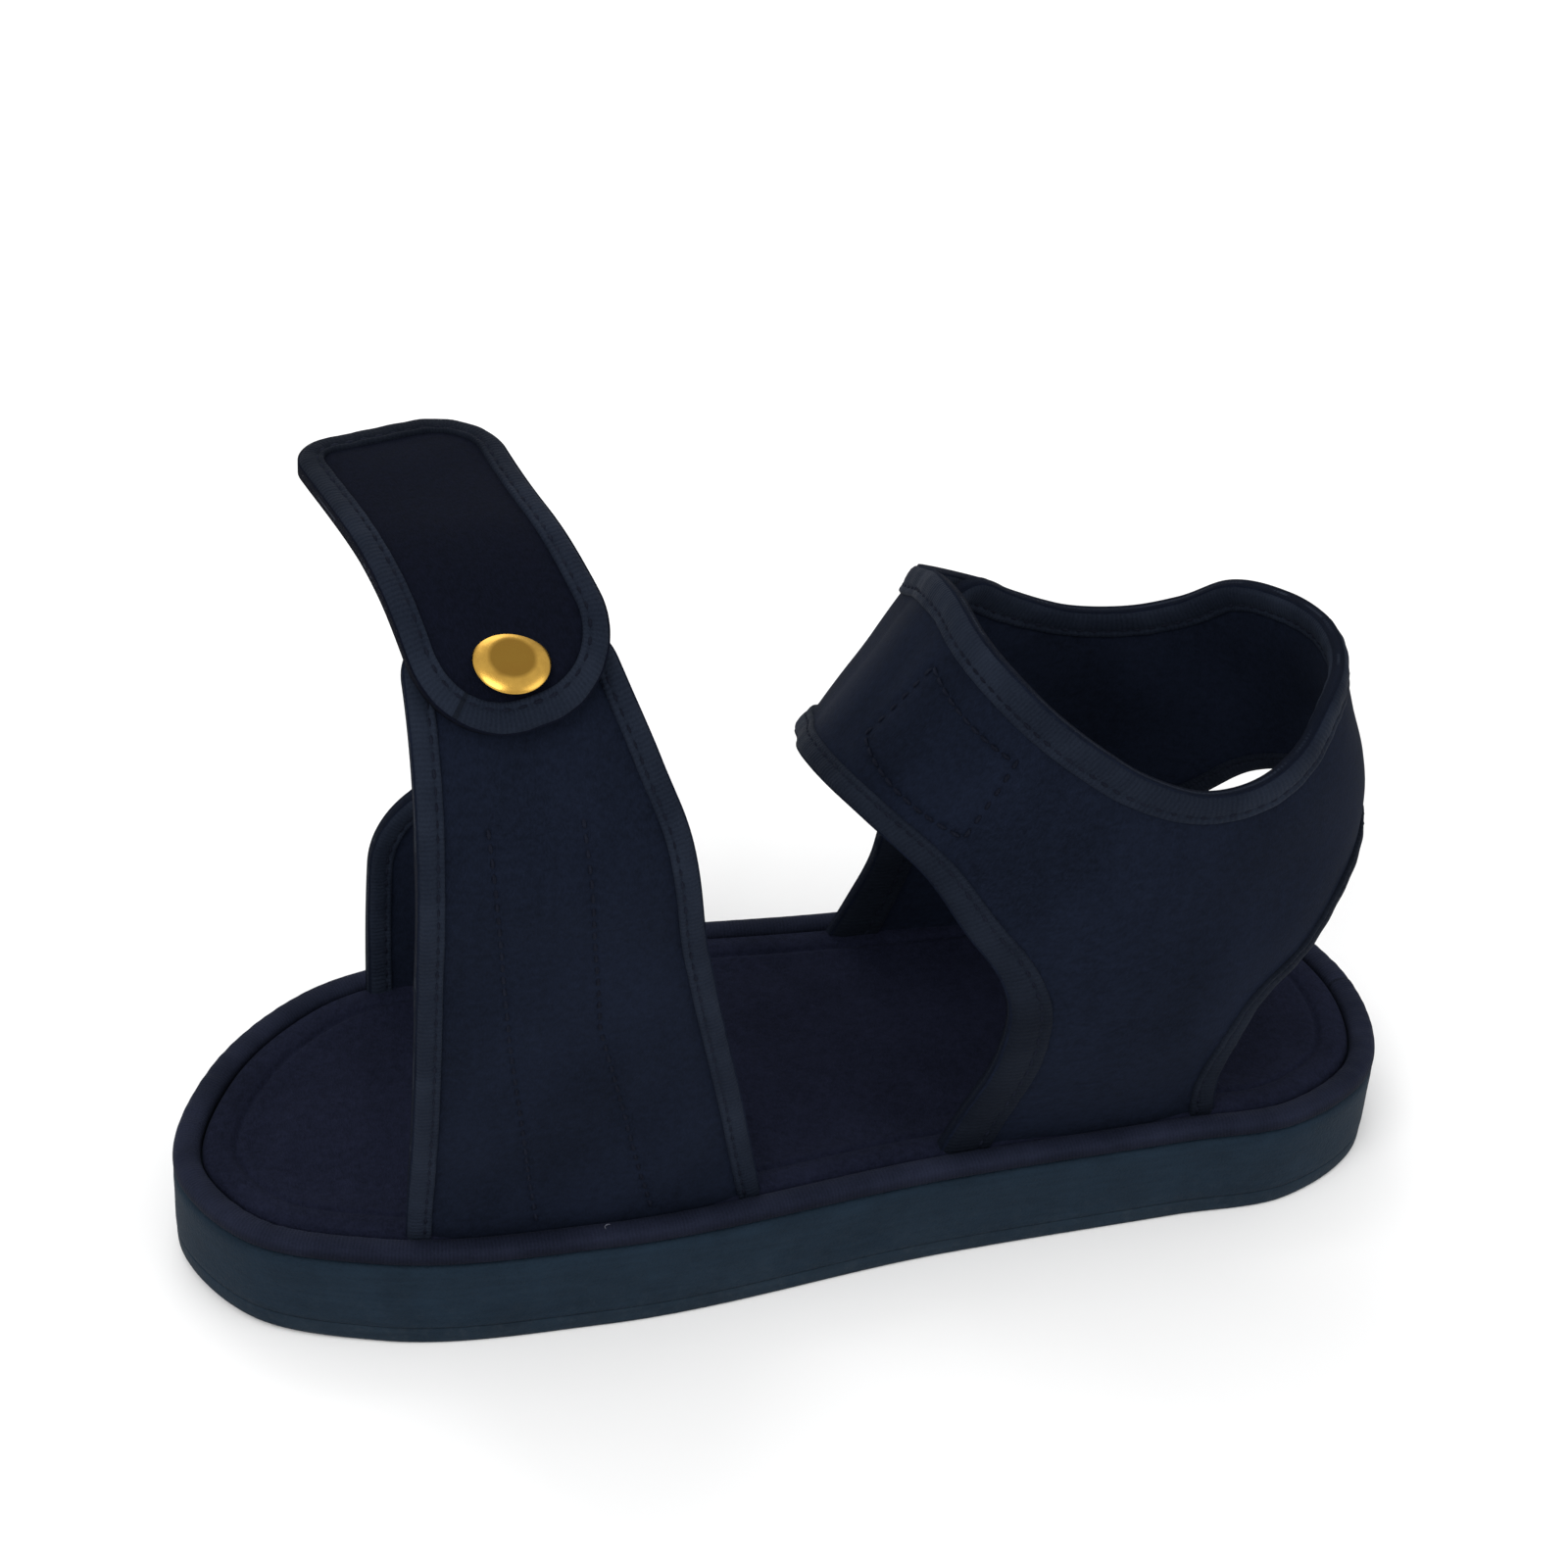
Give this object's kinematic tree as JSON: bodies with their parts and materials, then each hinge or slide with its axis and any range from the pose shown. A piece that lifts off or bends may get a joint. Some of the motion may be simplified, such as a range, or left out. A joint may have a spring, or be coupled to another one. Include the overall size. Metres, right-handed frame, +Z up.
{
  "type": "post-operative sandal",
  "caption": "Open sandal for a bandaged foot: thick foam sole, forefoot flaps with a snap strap, padded ankle collar.",
  "frame": {"origin": "on the ground, at the middle of the sole's length and width line", "axes": "+X toward the toe, +Y toward the big toe side of a right foot, +Z up"},
  "size_m": [0.28, 0.1118, 0.1792],
  "materials": {
    "eva_foam": "matte dark teal-grey closed-cell foam",
    "outsole_rubber": "matte dark grey sheet rubber",
    "footbed_cloth": "black-navy napped cloth",
    "roll_cloth": "dark navy cloth over a soft roll",
    "upper_laminate": "dark navy napped cloth over thin foam",
    "strap_cloth": "black-navy napped cloth with a lighter binding",
    "snap_brass": "polished yellow brass"
  },
  "bodies": {
    "root": {"outsole": "outsole_rubber", "midsole": "eva_foam", "edge_roll": "roll_cloth", "footbed": "footbed_cloth", "medial_flap": "upper_laminate", "lateral_flap": "upper_laminate", "closing_strap": "strap_cloth", "ankle_upper": "upper_laminate", "snap_cap": "snap_brass", "snap_socket": "snap_brass"}
  },
  "joints": []
}
